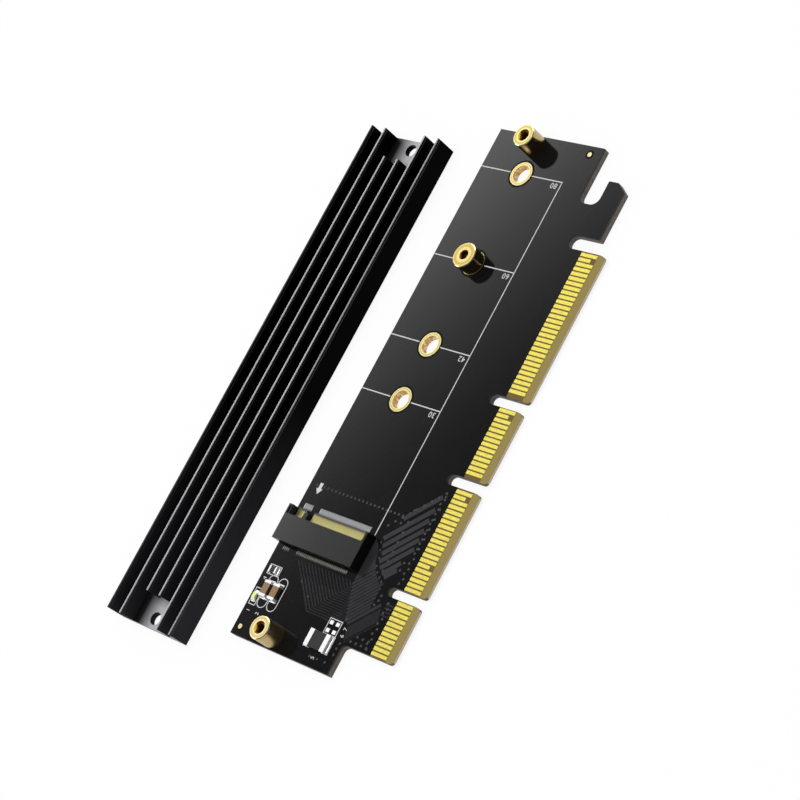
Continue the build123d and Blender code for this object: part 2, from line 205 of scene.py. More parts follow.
def maths(tree, operation, first, second=0.0):
    """A Math node. The first input is an output, and the second an output or a number."""
    if isinstance(second, float):
        return add(tree, "ShaderNodeMath", {"operation": operation, 1: second}, {0: first}).outputs[0]
    return add(tree, "ShaderNodeMath", {"operation": operation}, {0: first, 1: second}).outputs[0]


def mix(tree, factor, first, second):
    """A blend from the colour output first, at factor 0, to the plain colour second, at factor 1."""
    settings = {"data_type": "RGBA", 7: linear(second)}
    return add(tree, "ShaderNodeMix", settings, {0: factor, 6: first}).outputs[2]


def bump(shader, height, depth_mm):
    """Feeds the shader's normal from a height of 0 to 1 that is depth_mm deep."""
    node = add(shader.id_data, "ShaderNodeBump", {"Distance": depth_mm * MM}, {"Height": height})
    feed(shader, node.outputs["Normal"], "Normal")

# %% Surface tools
def grid_faces(rows, columns, ring):
    """Quads of a grid of points whose columns close on themselves. A ring's rows close too; otherwise the
    first and the last row each get a flat face."""
    row, column = np.meshgrid(np.arange(rows if ring else rows - 1), np.arange(columns), indexing="ij")
    here = row * columns
    above = (row + 1) % rows * columns
    after = (column + 1) % columns
    quads = np.stack([here + column, here + after, above + after, above + column], axis=-1)
    quads = quads.reshape(-1, 4).tolist()
    if ring:
        return quads
    return quads + [list(reversed(range(columns))), list(range((rows - 1) * columns, rows * columns))]


def tube(points, ring=False):
    """A closed solid from an array (rows, columns, 3): each row is a loop of points, anticlockwise as seen
    from the next row's side."""
    return points.reshape(-1, 3), grid_faces(*points.shape[:2], ring)


def volume(vertices, faces):
    """Volume in cubic mm: the sum over the faces of the pyramids to the origin; positive if they face out."""
    total = 0.0
    for face in faces:
        fan = vertices[face]
        total += np.einsum("j,ij->", fan[0], np.cross(fan[1:-1], fan[2:])) / 6
    return total


def merged(solids):
    """Several (vertices, faces) as one."""
    vertices = []
    faces = []
    start = 0
    for points, polygons in solids:
        vertices.append(points)
        faces += [[start + i for i in polygon] for polygon in polygons]
        start += len(points)
    return np.concatenate(vertices), faces


def new_object(name, data):
    """A new object in the scene."""
    made = bpy.data.objects.new(name, data)
    bpy.context.scene.collection.objects.link(made)
    return made


def piece(name, solid, material, smooth=False):
    """Makes one object of a solid given in mm, dresses it, and lets it ride on the card."""
    vertices, faces = solid
    mesh = bpy.data.meshes.new(name)
    mesh.from_pydata((np.asarray(vertices) * MM).tolist(), [], faces)
    mesh.polygons.foreach_set("use_smooth", [smooth] * len(mesh.polygons))
    mesh.materials.append(material)
    mesh.validate()
    made = new_object(name, mesh)
    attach(made, "root")
    print(f"{name}: {len(mesh.polygons)} faces, {volume(vertices, faces):.4f} cubic mm")


def band(path, width, low, high):
    """A raised band along a path in the plane. Its section is a low trapezoid, and at a bend both sides
    are pushed out by half the width over the cosine of half the turn, so that the width stays the same."""
    path = np.asarray(path, float)
    runs = np.diff(path, axis=0)
    runs /= np.linalg.norm(runs, axis=1)[:, None]
    before = np.vstack([runs[:1], runs])
    after = np.vstack([runs, runs[-1:]])
    along = before + after
    along /= np.linalg.norm(along, axis=1)[:, None]
    side = np.stack([-along[:, 1], along[:, 0]], axis=1)
    reach = width / 2 / (before * along).sum(axis=1)
    slope = (high - low) / width
    section = np.array([(1.0, low), (1.0 - 2 * slope, high), (-1.0 + 2 * slope, high), (-1.0, low)])
    points = np.empty((len(path), len(section), 3))
    points[:, :, :2] = path[:, None] + side[:, None] * reach[:, None, None] * section[None, :, :1]
    points[:, :, 2] = section[:, 1]
    return tube(points)


def plate(outline, low, high):
    """A flat plate with the given anticlockwise outline, from level low to level high."""
    outline = np.asarray(outline, float)
    points = np.empty((2, len(outline), 3))
    points[:, :, :2] = outline
    points[0, :, 2] = low
    points[1, :, 2] = high
    return tube(points)


def round_angles(steps):
    """The angles of a full turn, in equal steps."""
    return np.linspace(0, 2 * math.pi, steps, endpoint=False)


def wrap(radii, levels, centre):
    """Points round a vertical line, from their radius by level and angle."""
    angle = round_angles(radii.shape[1])
    points = np.empty((*radii.shape, 3))
    points[:, :, 0] = centre[0] + radii * np.cos(angle)
    points[:, :, 1] = centre[1] + radii * np.sin(angle)
    points[:, :, 2] = levels[:, None]
    return points


def turned(profile, centre, steps, ring=False):
    """A solid of revolution about a vertical line: profile is a list of (radius, height) upwards. A ring's
    profile closes on itself, up on its outer side."""
    radii, levels = np.transpose(profile)
    return tube(wrap(np.tile(radii[:, None], steps), levels, centre), ring)


def capsule(centre, half_length, radius, steps=12):
    """The closed outline of a capsule along x: a half circle at each end."""
    angle = np.linspace(-math.pi / 2, math.pi / 2, steps)
    right = np.stack([half_length - radius + radius * np.cos(angle), radius * np.sin(angle)], axis=1)
    outline = np.vstack([right, -right])
    return np.vstack([outline, outline[:1]]) + np.asarray(centre)


def frame_path(low, high):
    """The closed path of the rectangle between two corners."""
    x0, y0 = low[:2]
    x1, y1 = high[:2]
    return [(x0, y0), (x1, y0), (x1, y1), (x0, y1), (x0, y0)]

# %% [markdown]
# ## Finishes
# Black solder mask is a glossy epoxy paint about 0.03 mm thick: a mirror coat that shows the supports as
# dark reflections, over a base that is nearly black. Where copper lies under it, it is a little lighter.

# %% Solder mask
def solder_mask(name, dark, light, gloss):
    """Glossy epoxy paint: a nearly black base and a clear mirror-like top, slightly uneven."""
    material, tree, shader = new_material(name, {"IOR": 1.5})
    cloud = noise(tree, 0.35, 3.0)
    feed(shader, shades(tree, cloud, dark, light))
    rough = spread(tree, noise(tree, 2.5, 4.0), gloss, gloss + 0.04)
    feed(shader, rough, "Roughness")
    cloth = noise(tree, (1.1, 2.2, 1.0))
    bump(shader, cloth, 0.0015)
    return material


mask = solder_mask("black solder mask", "#0b0b0d", "#0f0f11", 0.06)
mask_on_copper = solder_mask("solder mask over copper", "#2a2a2d", "#2f2f32", 0.16)
mask_on_pour = solder_mask("solder mask over a copper pour", "#242427", "#2a2a2d", 0.14)
mask_on_plane = solder_mask("solder mask over a wide plane", "#1b1b1e", "#1f1f22", 0.13)
mask_on_track = solder_mask("solder mask over fine tracks", "#18181b", "#1c1c1f", 0.12)

# %% [markdown]
# The board itself is glass cloth in epoxy. Between and under the gold contacts it has no paint and shows
# olive brown, with the weave of the cloth about 0.45 mm across. Its milled edge shows the brown layers,
# with a dark line of paint along the top and short streaks of glass. The edge below the contacts is
# bevelled and pale.

# %% Laminate
PAINT_MARGIN = 0.42
PAINT_FADE = 0.08
RESIN_FADE = 0.1
PAD_FOOT = node_box("edge_contacts_front")[0][1]


def bare_laminate():
    """Epoxy glass cloth: olive brown, a faint square weave, a satin surface, and darker from the level of
    the contacts' lower ends upwards, where a film of resin is left between them."""
    material, tree, shader = new_material("epoxy glass laminate", {
        "Roughness": 0.5, "IOR": 1.5, "Specular IOR Level": 0.25})
    cloth = place(tree, 2.2)
    warp, weft = [add(tree, "ShaderNodeTexWave", {"bands_direction": axis, "Scale": 1.0, "Distortion": 0.4},
                      {"Vector": cloth}).outputs["Fac"] for axis in "XY"]
    weave = maths(tree, "MULTIPLY", warp, weft)
    shade = ramp(tree, weave, [(0.0, "#85733a"), (1.0, "#aa9854")])
    between = rise(tree, coordinate(tree, "Y"), PAD_FOOT - RESIN_FADE, PAD_FOOT)
    feed(shader, mix(tree, between, shade, "#6a5427"))
    bump(shader, weave, 0.004)
    return material


def laminate_edge():
    """The milled edge: brown-grey glass layers one above the other, streaked along the board, with a black
    margin of paint along the top."""
    material, tree, shader = new_material("milled laminate edge", {"Roughness": 0.6, "IOR": 1.5})
    streak = noise(tree, (1.6, 1.6, 9.0), 5.0, 0.65)
    shade = ramp(tree, streak, [(0.3, "#2d2620"), (0.5, "#5c5047"), (0.72, "#84766a")])
    margin = BOARD_TOP - PAINT_MARGIN
    painted = rise(tree, coordinate(tree, "Z"), margin - PAINT_FADE, margin)
    feed(shader, mix(tree, painted, shade, "#060607"))
    bump(shader, streak, 0.03)
    return material


laminate = bare_laminate()
edge = laminate_edge()

# %% [markdown]
# Hard gold over nickel on the contacts, and thinner gold in the plated holes: a pure metal with a warm
# colour, satin from the copper's grain and brushed slightly across the contacts.
# Turned brass for the supports: paler and greener than gold, with fine rings from the lathe on the sides,
# so that the highlight is drawn out round the post. Their faced ends and the plated holes' rings are painted
# with two bright rims of highlight and a deeper band between, and the chamfered rim is painted near-white as
# a highlight; their bores are brown in their own shade.

# %% Gold and brass
RINGS_PER_MM = 12.0


def plated_gold(name, dark, light):
    """Plated gold: metal, satin, with a fine grain and long shallow brush marks."""
    material, tree, shader = new_material(name, {"Metallic": 1.0})
    grain = noise(tree, 3.0, 5.0, 0.6)
    feed(shader, shades(tree, grain, dark, light))
    brushed = noise(tree, (14.0, 1.2, 5.0), 3.0)
    feed(shader, spread(tree, brushed, 0.26, 0.40), "Roughness")
    bump(shader, brushed, 0.003)
    return material


def turned_brass(title, name, gloss, depth_mm, dark, light):
    """Brass turned on a lathe: fine rings about its own axis, on the flats and down the sides."""
    material, tree, shader = new_material(title + " " + name, {"Metallic": 1.0})
    lines = add(tree, "ShaderNodeCombineXYZ", links={
        "X": from_axis(tree, name), "Z": coordinate(tree, "Z")}).outputs[0]
    rings = noise(tree, vectors(tree, "MULTIPLY", lines, RINGS_PER_MM)[0], 4.0, 0.7)
    feed(shader, shades(tree, rings, dark, light))
    feed(shader, spread(tree, rings, gloss, gloss + 0.1), "Roughness")
    bump(shader, rings, depth_mm)
    return material


gold = plated_gold("hard gold plating", "#e8d653", "#fbee7c")
# painted shade: the contacts' sheared sides are near-black bronze, so that dark lines show between the
# contacts
shaded_sheared_sides = plated_gold("sheared spring bronze in painted shade", "#2a2212", "#3d331e")
thin_gold = plated_gold("thin gold over nickel", "#e6d694", "#fbf0c0")


def rimmed_metal(title, name, inner, rim, band_colour, gloss):
    """A flat ring of metal round a bore: painted highlight as rims of one colour outside and inside, and a
    deeper band between.
    Inner is the radius at which the flat begins."""
    material, tree, shader = new_material(title + " " + name, {"Metallic": 1.0, "Roughness": gloss})
    outer = np.linalg.norm(node_points(name)[:, :2] - node_centre(name)[:2], axis=1).max()
    share = rise(tree, from_axis(tree, name), inner, float(outer))
    feed(shader, ramp(tree, share, [
        (0.0, rim), (0.2, rim), (0.4, band_colour), (0.62, band_colour), (0.82, rim), (1.0, rim)]))
    bump(shader, noise(tree, 4.0, 4.0), 0.004)
    return material


LIT_SIDE = (-0.32, 0.95, 0.0)
LIT_REACH = (0.86, 1.04)
LIT_HEIGHT = (-1.3, -0.7)


def bore_brass(name):
    """The bore of a post: brass in its own shade, and golden near the mouth on the side that takes the
    light. The gold sets in over LIT_REACH, in mm from the axis towards LIT_SIDE, and over LIT_HEIGHT, in
    mm above the top."""
    material = turned_brass("brass in the bore", name, 0.4, 0.004, "#4a2a0c", "#8d6022")
    tree = material.node_tree
    shader = tree.nodes["Principled BSDF"]
    shade = shader.inputs["Base Color"].links[0].from_socket
    where = place(tree, 1.0, (*node_centre(name)[:2], node_box(name)[1][2]))
    side = rise(tree, vectors(tree, "DOT_PRODUCT", where, LIT_SIDE)["Value"], *LIT_REACH)
    high = rise(tree, coordinate(tree, "Z", where), *LIT_HEIGHT)
    lit = maths(tree, "MULTIPLY", side, high)
    feed(shader, mix(tree, lit, shade, "#ffcf57"))
    feed(shader, rise(tree, lit, 0.0, 1.0, 1.0, 0.3), "Metallic")
    return material


# gloss and depth in mm of the side's rings, radius of the mouth, and rim and band colour of the end; the rims
# are painted highlight, matched to the light on each post, and the module standoff's end, under the nut and
# down in its bore, is painted dark as shade
BRASS_LOOKS = {
    "module_standoff": (0.16, 0.008, 1.0, "#4a2d0c", "#3a240a"),
    "module_clamp_nut": (0.16, 0.012, 1.3, "#ead990", "#cfb160"),
    "heatsink_standoff_near": (0.3, 0.002, 1.3, "#fdf0bc", "#e3c981"),
    "heatsink_standoff_far": (0.16, 0.002, 1.3, "#f1eca0", "#d2bf68"),
}


def post_brass(name):
    """The four finishes of a brass node: drawn side, faced end with painted rims, polished rim in painted
    highlight, and bore in painted shade with a painted glint.
    """
    gloss, depth_mm, inner, rim, band_colour = BRASS_LOOKS[name]
    # painted highlight: the rims on the faced end and the near-white chamfer stand in for light on the edges
    return [turned_brass("drawn brass", name, gloss, depth_mm, "#a58c5c", "#c9b384"),
            rimmed_metal("faced brass with painted highlight rims", name, inner, rim, band_colour, 0.34),
            turned_brass("polished brass rim in painted highlight", name, 0.2, 0.002, "#fdf2b4", "#fffbd8"),
            bore_brass(name)]


brass = {name: post_brass(name) for name in BRASS_LOOKS}


def barrel_plating():
    """The barrel of a plated hole: gold over the drilled glass, brown in its own shade, streaked."""
    material, tree, shader = new_material("plated barrel", {"Metallic": 1.0, "Roughness": 0.38})
    streak = noise(tree, (3.0, 3.0, 1.2), 4.0, 0.65)
    feed(shader, ramp(tree, streak, [(0.3, "#8a6634"), (0.5, "#c39c60"), (0.65, "#f0dab2")]))
    bump(shader, streak, 0.01)
    return material


barrel = barrel_plating()

# %% [markdown]
# The socket is moulded in a black glass-filled plastic: dull, with a fine grain, and painted paler towards
# the far end wall as painted light; the floor of its mouth between the contacts is painted near-black as
# shade. Its contacts are gold inside the housing and tinned beyond it; their sheared sides, a brown band at
# the wall, and the rear row's tin and solder are painted darker as shade. The chips: capacitors of
# beige-brown ceramic, ends of matt tin, a fuse and a resistor with a dark glaze, and an indicator lamp of
# clear yellow-green resin. Ends and lands are covered with bright solder.

# %% Plastic, ceramic, tin, glaze, resin
def grainy(name, dark, light, scale_mm, roughness, depth_mm, settings=None):
    """A moulded or fired surface: two shades in blotches of scale_mm and a bump from the same noise."""
    material, tree, shader = new_material(name, {"Roughness": roughness, **(settings or {})})
    cloud = noise(tree, 1 / scale_mm, 4.0, 0.6)
    feed(shader, shades(tree, cloud, dark, light))
    bump(shader, cloud, depth_mm)
    return material


def socket_material():
    """Black glass-filled nylon: dull, finely grained, and painted paler towards the far end wall, as painted
    light.
    """
    material, tree, shader = new_material("glass-filled nylon", {
        "Roughness": 0.32, "Specular IOR Level": 0.36})
    # painted light: the ramp along y makes the housing paler towards the far end wall, where the light falls
    # on it
    share = rise(tree, coordinate(tree, "Y"), SOCKET_LOW[1], SOCKET_HIGH[1])
    shade = ramp(tree, share, [(0.0, "#040404"), (0.5, "#1c1c1e"), (1.0, "#39393b")])
    grain = noise(tree, 8.0, 4.0, 0.6)
    feed(shader, mix(tree, spread(tree, grain, 0.0, 0.5), shade, "#101011"))
    bump(shader, grain, 0.003)
    return material


def contact_plating(name, wall, away, tail):
    """Selective plating: gold inside the housing and tin of the colour tail beyond, with a brown band of
    painted shade at its wall.
    Away is 1 where the tails point along x and -1 where they point back."""
    material, tree, shader = new_material(name, {"Metallic": 1.0, "Roughness": 0.34})
    grain = noise(tree, 3.0, 4.0, 0.6)
    shade = shades(tree, grain, "#d6cb7d", "#f1e8a4")
    out = coordinate(tree, "X", place(tree, (away, 1, 1)))
    # painted shade: a brown band just inside the wall, where the housing shades the contacts
    wall_shade = rise(tree, out, wall * away - 0.4, wall * away - 0.2)
    beyond = rise(tree, out, wall * away - 0.08, wall * away - 0.02)
    feed(shader, mix(tree, beyond, mix(tree, wall_shade, shade, "#8d735a"), tail))
    bump(shader, grain, 0.003)
    return material


socket_plastic = socket_material()
# painted shade: the floor of the mouth and the comb's ribs between the contacts are near-black
comb_plastic = grainy("nylon between the contacts in painted shade", "#010101", "#030303", 0.12, 0.6, 0.003,
                      {"Specular IOR Level": 0.1})
front_plating = contact_plating("front row plating", SOCKET_HIGH[0], 1, "#85858c")
# painted shade: the rear row's tin is painted dark brown-grey, as the housing shades its tails
rear_plating = contact_plating("rear row plating", SOCKET_LOW[0], -1, "#2c2822")
ceramic = grainy("fired brown ceramic", "#7a5d42", "#957755", 0.25, 0.4, 0.004)
ceramic_side = grainy("ceramic in its own shade", "#2f2418", "#3d3020", 0.25, 0.5, 0.004)
tin = grainy("matt tin", "#f0f0f0", "#ffffff", 0.3, 0.36, 0.006, {"Metallic": 1.0})
solder = grainy("bright solder", "#f0f1f2", "#ffffff", 0.35, 0.24, 0.006, {"Metallic": 1.0})
dull_solder = grainy("reflowed solder", "#b4b4b8", "#d9d9dc", 0.2, 0.3, 0.01, {"Metallic": 1.0})
# painted shade: the solder on the rear tails is darker because the housing shades it
shaded_solder = grainy("solder in painted shade", "#787670", "#98958d", 0.2, 0.35, 0.01, {"Metallic": 1.0})
sawn_laminate = grainy("bevelled glass edge", "#a49b86", "#cbc3b0", 0.3, 0.6, 0.01)
# painted shade: the laminate in the paint's clearings is near-black, standing in for the shade at the paint's
# edge
clearing_shade = grainy("bare laminate in painted shade", "#040302", "#0a0806", 0.3, 0.6, 0.003,
                      {"Specular IOR Level": 0.1})
glaze = grainy("dark glaze", "#1a1a1d", "#26262a", 0.4, 0.25, 0.003)
resin = grainy("clear lamp resin", "#dbe67e", "#f2f6ac", 0.3, 0.15, 0.002,
               {"Coat Weight": 0.6, "Coat Roughness": 0.05})
ink = grainy("white ink", "#c4c4c4", "#d6d6d6", 0.1, 0.6, 0.004)

# %% [markdown]
# The heatsink is extruded aluminium, anodised black: satin, with faint lines along the extrusion. The
# tops of its fins catch the light and show as thin silver-grey lines, the outermost one less than the
# others, and the floor of the channels is grey where light comes in at the open ends.

# %% Anodised aluminium
SINK_BASE = 1.3
EXTRUDED = (0.06, 9.0, 9.0)
# level of the painted highlight line below each fin top, and how far from it the grey starts and is full
EDGE_SHEEN_LEVEL = 4.62
EDGE_SHEEN_FADE = (0.12, 0.07)
# x over which the sides pale, and distances from the middle over which the channels' floor turns grey
NEAR_FADE = (28.0, -10.0)
END_FADE = (47.0, 51.0)
CARD_FADE = (4.0, 0.0)


def anodised(name, dark, light, metallic, roughness, specular, paler=None):
    """Anodised aluminium: fine lines along the extrusion in colour, gloss and relief. Paler is the colour
    that the sides fade to at their near end; they also have a grey line of painted highlight below each top."""
    material, tree, shader = new_material(name, {
        "Metallic": metallic, "IOR": 1.6, "Specular IOR Level": specular})
    lines = noise(tree, EXTRUDED, 4.0, 0.6)
    shade = shades(tree, lines, dark, light)
    if paler:
        shade = mix(tree, rise(tree, coordinate(tree, "X"), *NEAR_FADE), shade, paler)
        # painted highlight: a grey line on the sides just below each fin top, standing in for the sheen of
        # its edge
        off = maths(tree, "ABSOLUTE", maths(tree, "SUBTRACT", coordinate(tree, "Z"), EDGE_SHEEN_LEVEL))
        shade = mix(tree, rise(tree, off, *EDGE_SHEEN_FADE), shade, "#3f3f41")
    feed(shader, shade)
    feed(shader, spread(tree, lines, roughness, roughness + 0.1), "Roughness")
    bump(shader, lines, 0.004)
    return material


def channel_floor_material():
    """The floor of the channels: black between the fins, and grey where light comes in at the two open
    ends, more so towards the card."""
    material, tree, shader = new_material("anodised channel floor", {
        "Roughness": 0.35, "IOR": 1.6, "Specular IOR Level": 0.3})
    where = place(tree, 1.0, node_centre("heatsink"))
    ends = rise(tree, maths(tree, "ABSOLUTE", coordinate(tree, "X", where)), *END_FADE)
    lit = maths(tree, "MULTIPLY", ends, rise(tree, coordinate(tree, "Y", where), *CARD_FADE))
    lines = noise(tree, EXTRUDED, 4.0, 0.6)
    feed(shader, mix(tree, lit, shades(tree, lines, "#060607", "#0c0c0e"), "#a9a9ad"))
    bump(shader, lines, 0.004)
    return material


def sawn_end_material():
    """The sawn end: black, with a pale line of painted highlight along the base's upper edge."""
    material, tree, shader = new_material("anodised sawn end", {
        "Roughness": 0.45, "IOR": 1.6, "Specular IOR Level": 0.1})
    share = rise(tree, coordinate(tree, "Z"), 0.0, SINK_BASE)
    # painted highlight: the pale band near the top of the ramp stands in for light on the base's upper edge
    feed(shader, ramp(tree, share, [
        (0.0, "#060607"), (0.72, "#0a0a0b"), (0.80, "#8a8a8d"), (0.97, "#8a8a8d"), (1.0, "#0a0a0b")]))
    bump(shader, noise(tree, (2.0, 14.0, 2.0), 3.0), 0.01)
    return material


anodised_black = anodised("black anodised aluminium", "#010101", "#020202", 0.0, 0.3, 0.012, "#29292c")
# painted highlight: the black anodised fin tops get silver-grey colours for the light they catch, dimmer on
# the farthest fin
anodised_top = anodised("fin top in painted highlight", "#a4a4a6", "#bfbfc1", 1.0, 0.4, 0.5)
outer_top = anodised("outer fin top in painted highlight", "#8a8a8c", "#a4a4a6", 1.0, 0.4, 0.5)
far_top = anodised("far fin top in dimmer painted highlight", "#303031", "#464648", 1.0, 0.45, 0.5)
channel_floor = channel_floor_material()
sawn_end = sawn_end_material()

# %% [markdown]
# ## Dress the CAD nodes
# Each node gets its material. The board has four: paint on its faces, bare laminate round the contacts,
# the milled edge and the bevelled one. The heatsink has six, and each brass node four. Round nodes are
# shaded smooth: their loose triangles are welded, and split again where the surface turns by more than 30
# degrees.

# %% Dress the nodes
SINK_LOW, SINK_HIGH = node_box("heatsink")
FIN_THICKNESS = 0.5
WELD_MM = 0.0005
SHARP_DEGREES = 30


def triangles(obj):
    """Centres in mm and unit normals of an object's faces."""
    faces = obj.data.polygons
    return read(faces, "center") / MM, read(faces, "normal")


def dress(name, materials, choose=None):
    """Gives a CAD node its materials. Choose returns the number of the material for each face."""
    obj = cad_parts[name]
    mesh = obj.data
    mesh.materials.clear()
    for material in materials:
        mesh.materials.append(material)
    chosen = np.zeros(len(mesh.polygons), int)
    if choose:
        chosen = choose(*triangles(obj))
    mesh.polygons.foreach_set("material_index", chosen.astype(np.int32))
    mesh.polygons.foreach_set("use_smooth", [True] * len(mesh.polygons))
    weld = obj.modifiers.new("Weld", "WELD")
    weld.merge_threshold = WELD_MM * MM
    split = obj.modifiers.new("Edge Split", "EDGE_SPLIT")
    split.split_angle = math.radians(SHARP_DEGREES)
    mesh.update()


def board_faces(centres, normals):
    """0 paint, 1 bare laminate, 2 milled edge, 3 the bevelled edge below the contacts."""
    painted = (np.abs(normals[:, 2]) > 0.9) & ((centres[:, 2] > BOARD_TOP - 0.01) | (centres[:, 2] < 0.01))
    upright = np.abs(normals[:, 2]) < 0.2
    low_edge = upright & (normals[:, 1] < -0.9) & (centres[:, 1] < 0.5)
    return np.select([painted, low_edge, upright], [0, 3, 2], 1)


def sink_faces(centres, normals):
    """0 anodised, 1 the tops of the fins with their edges, 2 the top of the fin nearest the card, 3 the
    floor of the channels, 4 the sawn end, 5 the top of the fin farthest from the card."""
    level = normals[:, 2] > 0.9
    high = centres[:, 2] > SINK_HIGH[2] - 0.02
    sloping = (normals[:, 2] > 0.3) & ~level
    outermost = centres[:, 1] < SINK_LOW[1] + FIN_THICKNESS
    farthest = centres[:, 1] > SINK_HIGH[1] - FIN_THICKNESS
    sawn = normals[:, 0] < -0.9
    top = (level & high) | sloping
    return np.select([top & outermost, top & farthest, top, level, sawn], [2, 5, 1, 3, 4], 0)


def post_faces(name):
    """Chooser for a post: 0 drawn side, 1 faced end, 2 chamfered rim, 3 the bore with its mouth."""
    centre = node_centre(name)

    def choose(centres, normals):
        out = centres[:, :2] - centre[:2]
        inward = (out * normals[:, :2]).sum(axis=1) < 0
        upright = np.abs(normals[:, 2]) < 0.3
        sloping = ~upright & (np.abs(normals[:, 2]) < 0.95)
        return np.select([(upright | sloping) & inward, sloping, ~upright], [3, 2, 1], 0)

    return choose


def side_faces(centres, normals):
    """0 top and ends, 1 the sides that face along the row, which get a darker finish: painted shade, over
    sheared bronze on the contacts.
    """
    return (np.abs(normals[:, 1]) > 0.5).astype(int)


def socket_faces(centres, normals):
    """0 the housing, 1 the floor of the mouth and the ribs of its comb, painted near-black as shade."""
    return ((normals[:, 2] > 0.9) & (centres[:, 2] < SOCKET_HIGH[2] - 0.5)).astype(int)


def hole_faces(centres, normals):
    """0 the ring, 1 the barrel."""
    return (np.abs(normals[:, 2]) < 0.3).astype(int)


PLAIN = [
    (gold, ("edge_contacts_front", "edge_contacts_back")),
    (tin, ("spare_pads", "component_pads", "capacitor_ends_outer", "capacitor_ends_inner", "led_ends",
           "resistor_ends", "fuse_ends")),
    (thin_gold, ("fiducial_marks",)), (resin, ("led_body",)), (glaze, ("resistor_body", "fuse_body")),
]
for material, names in PLAIN:
    for name in names:
        dress(name, [material])
dress("circuit_board", [mask, laminate, edge, sawn_laminate], board_faces)
dress("heatsink", [anodised_black, anodised_top, outer_top, channel_floor, sawn_end, far_top], sink_faces)
for name in ("capacitor_body_outer", "capacitor_body_inner"):
    dress(name, [ceramic, ceramic_side], side_faces)
dress("socket_housing", [socket_plastic, comb_plastic], socket_faces)
dress("socket_contacts_lower", [front_plating, shaded_sheared_sides], side_faces)
dress("socket_contacts_upper", [rear_plating, shaded_sheared_sides], side_faces)
for name in HOLES:
    # painted highlight: bright rims at the ring's outer and inner edges, with a deeper band between
    ring = rimmed_metal("plated ring with painted highlight rims", name, 1.9, "#f6ecab", "#d9c470", 0.28)
    dress(name, [ring, barrel], hole_faces)
for name, finishes in brass.items():
    dress(name, finishes, post_faces(name))
bare = sorted(name for name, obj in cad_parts.items() if not obj.data.materials)
print("nodes without a material:", bare)

# %% [markdown]
# ## Printed ink
# The white lines are screen printed, 0.25 mm wide and a few hundredths of a millimetre high: a long line
# that marks the drive module's edge, a cross line through each plated hole, broken by its ring, and
# outlines round the soldered parts. They are bands along a path, sunk a little into the paint.

# %% Station lines and outlines
INK_LOW = BOARD_TOP - 0.01
INK_HIGH = BOARD_TOP + 0.045
INK_WIDTH = 0.25
OUTLINE_WIDTH = 0.22
LONG_LINE_X = 8.6
LONG_LINE_Y = 18.7
RING_CLEAR = 2.9
EDGE_CLEAR = 0.1
# half length and radius of a capsule, half sides of two frames, and the third frame's margin
CAPSULE = (3.4, 1.2)
LAMP_FRAME = np.array((1.7, 0.85))
CHIP_FRAME = np.array((0.95, 1.6))
SPARE_MARGIN = 0.35


def ink_lines(paths, width=INK_WIDTH):
    """Several printed lines as one solid."""
    return merged([band(path, width, INK_LOW, INK_HIGH) for path in paths])


station_paths = [[(LONG_LINE_X, LONG_LINE_Y), (hole_centres[-1][0] + INK_WIDTH / 2, LONG_LINE_Y)]]
for x, y in hole_centres:
    station_paths.append([(x, LONG_LINE_Y + INK_WIDTH / 2), (x, y - RING_CLEAR)])
    station_paths.append([(x, y + RING_CLEAR), (x, BOARD_HIGH[1] - EDGE_CLEAR)])
piece("station_lines", ink_lines(station_paths), ink)

lamp = node_centre("led_body")[:2]
chip = node_centre("resistor_body")[:2]
spare_low, spare_high = node_box("spare_pads")
outline_paths = [
    capsule(node_centre("capacitor_body_outer")[:2] - (0.25, 0.05), *CAPSULE),
    capsule(node_centre("capacitor_body_inner")[:2] - (0.25, 0.3), *CAPSULE),
    frame_path(lamp - LAMP_FRAME, lamp + LAMP_FRAME),
    frame_path(chip - CHIP_FRAME, chip + CHIP_FRAME),
    frame_path(spare_low - SPARE_MARGIN, spare_high + SPARE_MARGIN),
]
piece("part_outlines", ink_lines(outline_paths, OUTLINE_WIDTH), ink)

# %% [markdown]
# A solid arrow shows which way the module slides in, and plain numbers name the stations and the parts.

# %% Arrow and numbers
ARROW_TIP = np.array([12.1, 37.65])
arrow = ARROW_TIP + np.array([(0, 0), (1.15, -0.85), (1.15, -0.4), (2.35, -0.4),
                              (2.35, 0.4), (1.15, 0.4), (1.15, 0.85)])
piece("arrow", plate(arrow, INK_LOW, INK_HIGH), ink)


def number(name, text, size, corner, upright=False):
    """A plain number. Its line of writing runs along +Y with the heads of the figures towards -X, or
    upright along +X."""
    curve = bpy.data.curves.new(name, "FONT")
    curve.body = text
    curve.size = size
    curve.space_character = 1.1
    curve.extrude = (INK_HIGH - INK_LOW) / 2
    flat = new_object(name, curve)
    bpy.context.view_layer.update()
    mesh = bpy.data.meshes.new_from_object(flat.evaluated_get(bpy.context.evaluated_depsgraph_get()))
    bpy.data.objects.remove(flat)
    points = read(mesh.vertices, "co")
    right, head = ((1, 0), (0, 1)) if upright else ((0, 1), (-1, 0))
    flat_points = points[:, :1] * right + points[:, 1:2] * head + np.asarray(corner)
    placed = np.column_stack([flat_points, points[:, 2] + (INK_LOW + INK_HIGH) / 2])
    faces = [list(polygon.vertices) for polygon in mesh.polygons]
    bpy.data.meshes.remove(mesh)
    piece(name, (placed, faces), ink)


STATION_SIZE = 1.65
PART_SIZE = 1.25
STATION_OFFSET = np.array((-0.5, 0.7))
for name, (x, y) in zip(HOLES, hole_centres):
    label = name.split("_")[-1]
    number("number_" + label, label, STATION_SIZE, STATION_OFFSET + (x, LONG_LINE_Y))
NUMBER_CORNERS = [(-13.5, 38.8), (-13.5, 36.2), (-13.5, 33.4), (-6.7, 38.9), (-16.9, 17.7), (-11.2, 13.6),
                  (-9.8, 13.6)]
for k, corner in enumerate(NUMBER_CORNERS, 1):
    number(f"part_number_{k}", str(k), PART_SIZE, corner, upright=True)

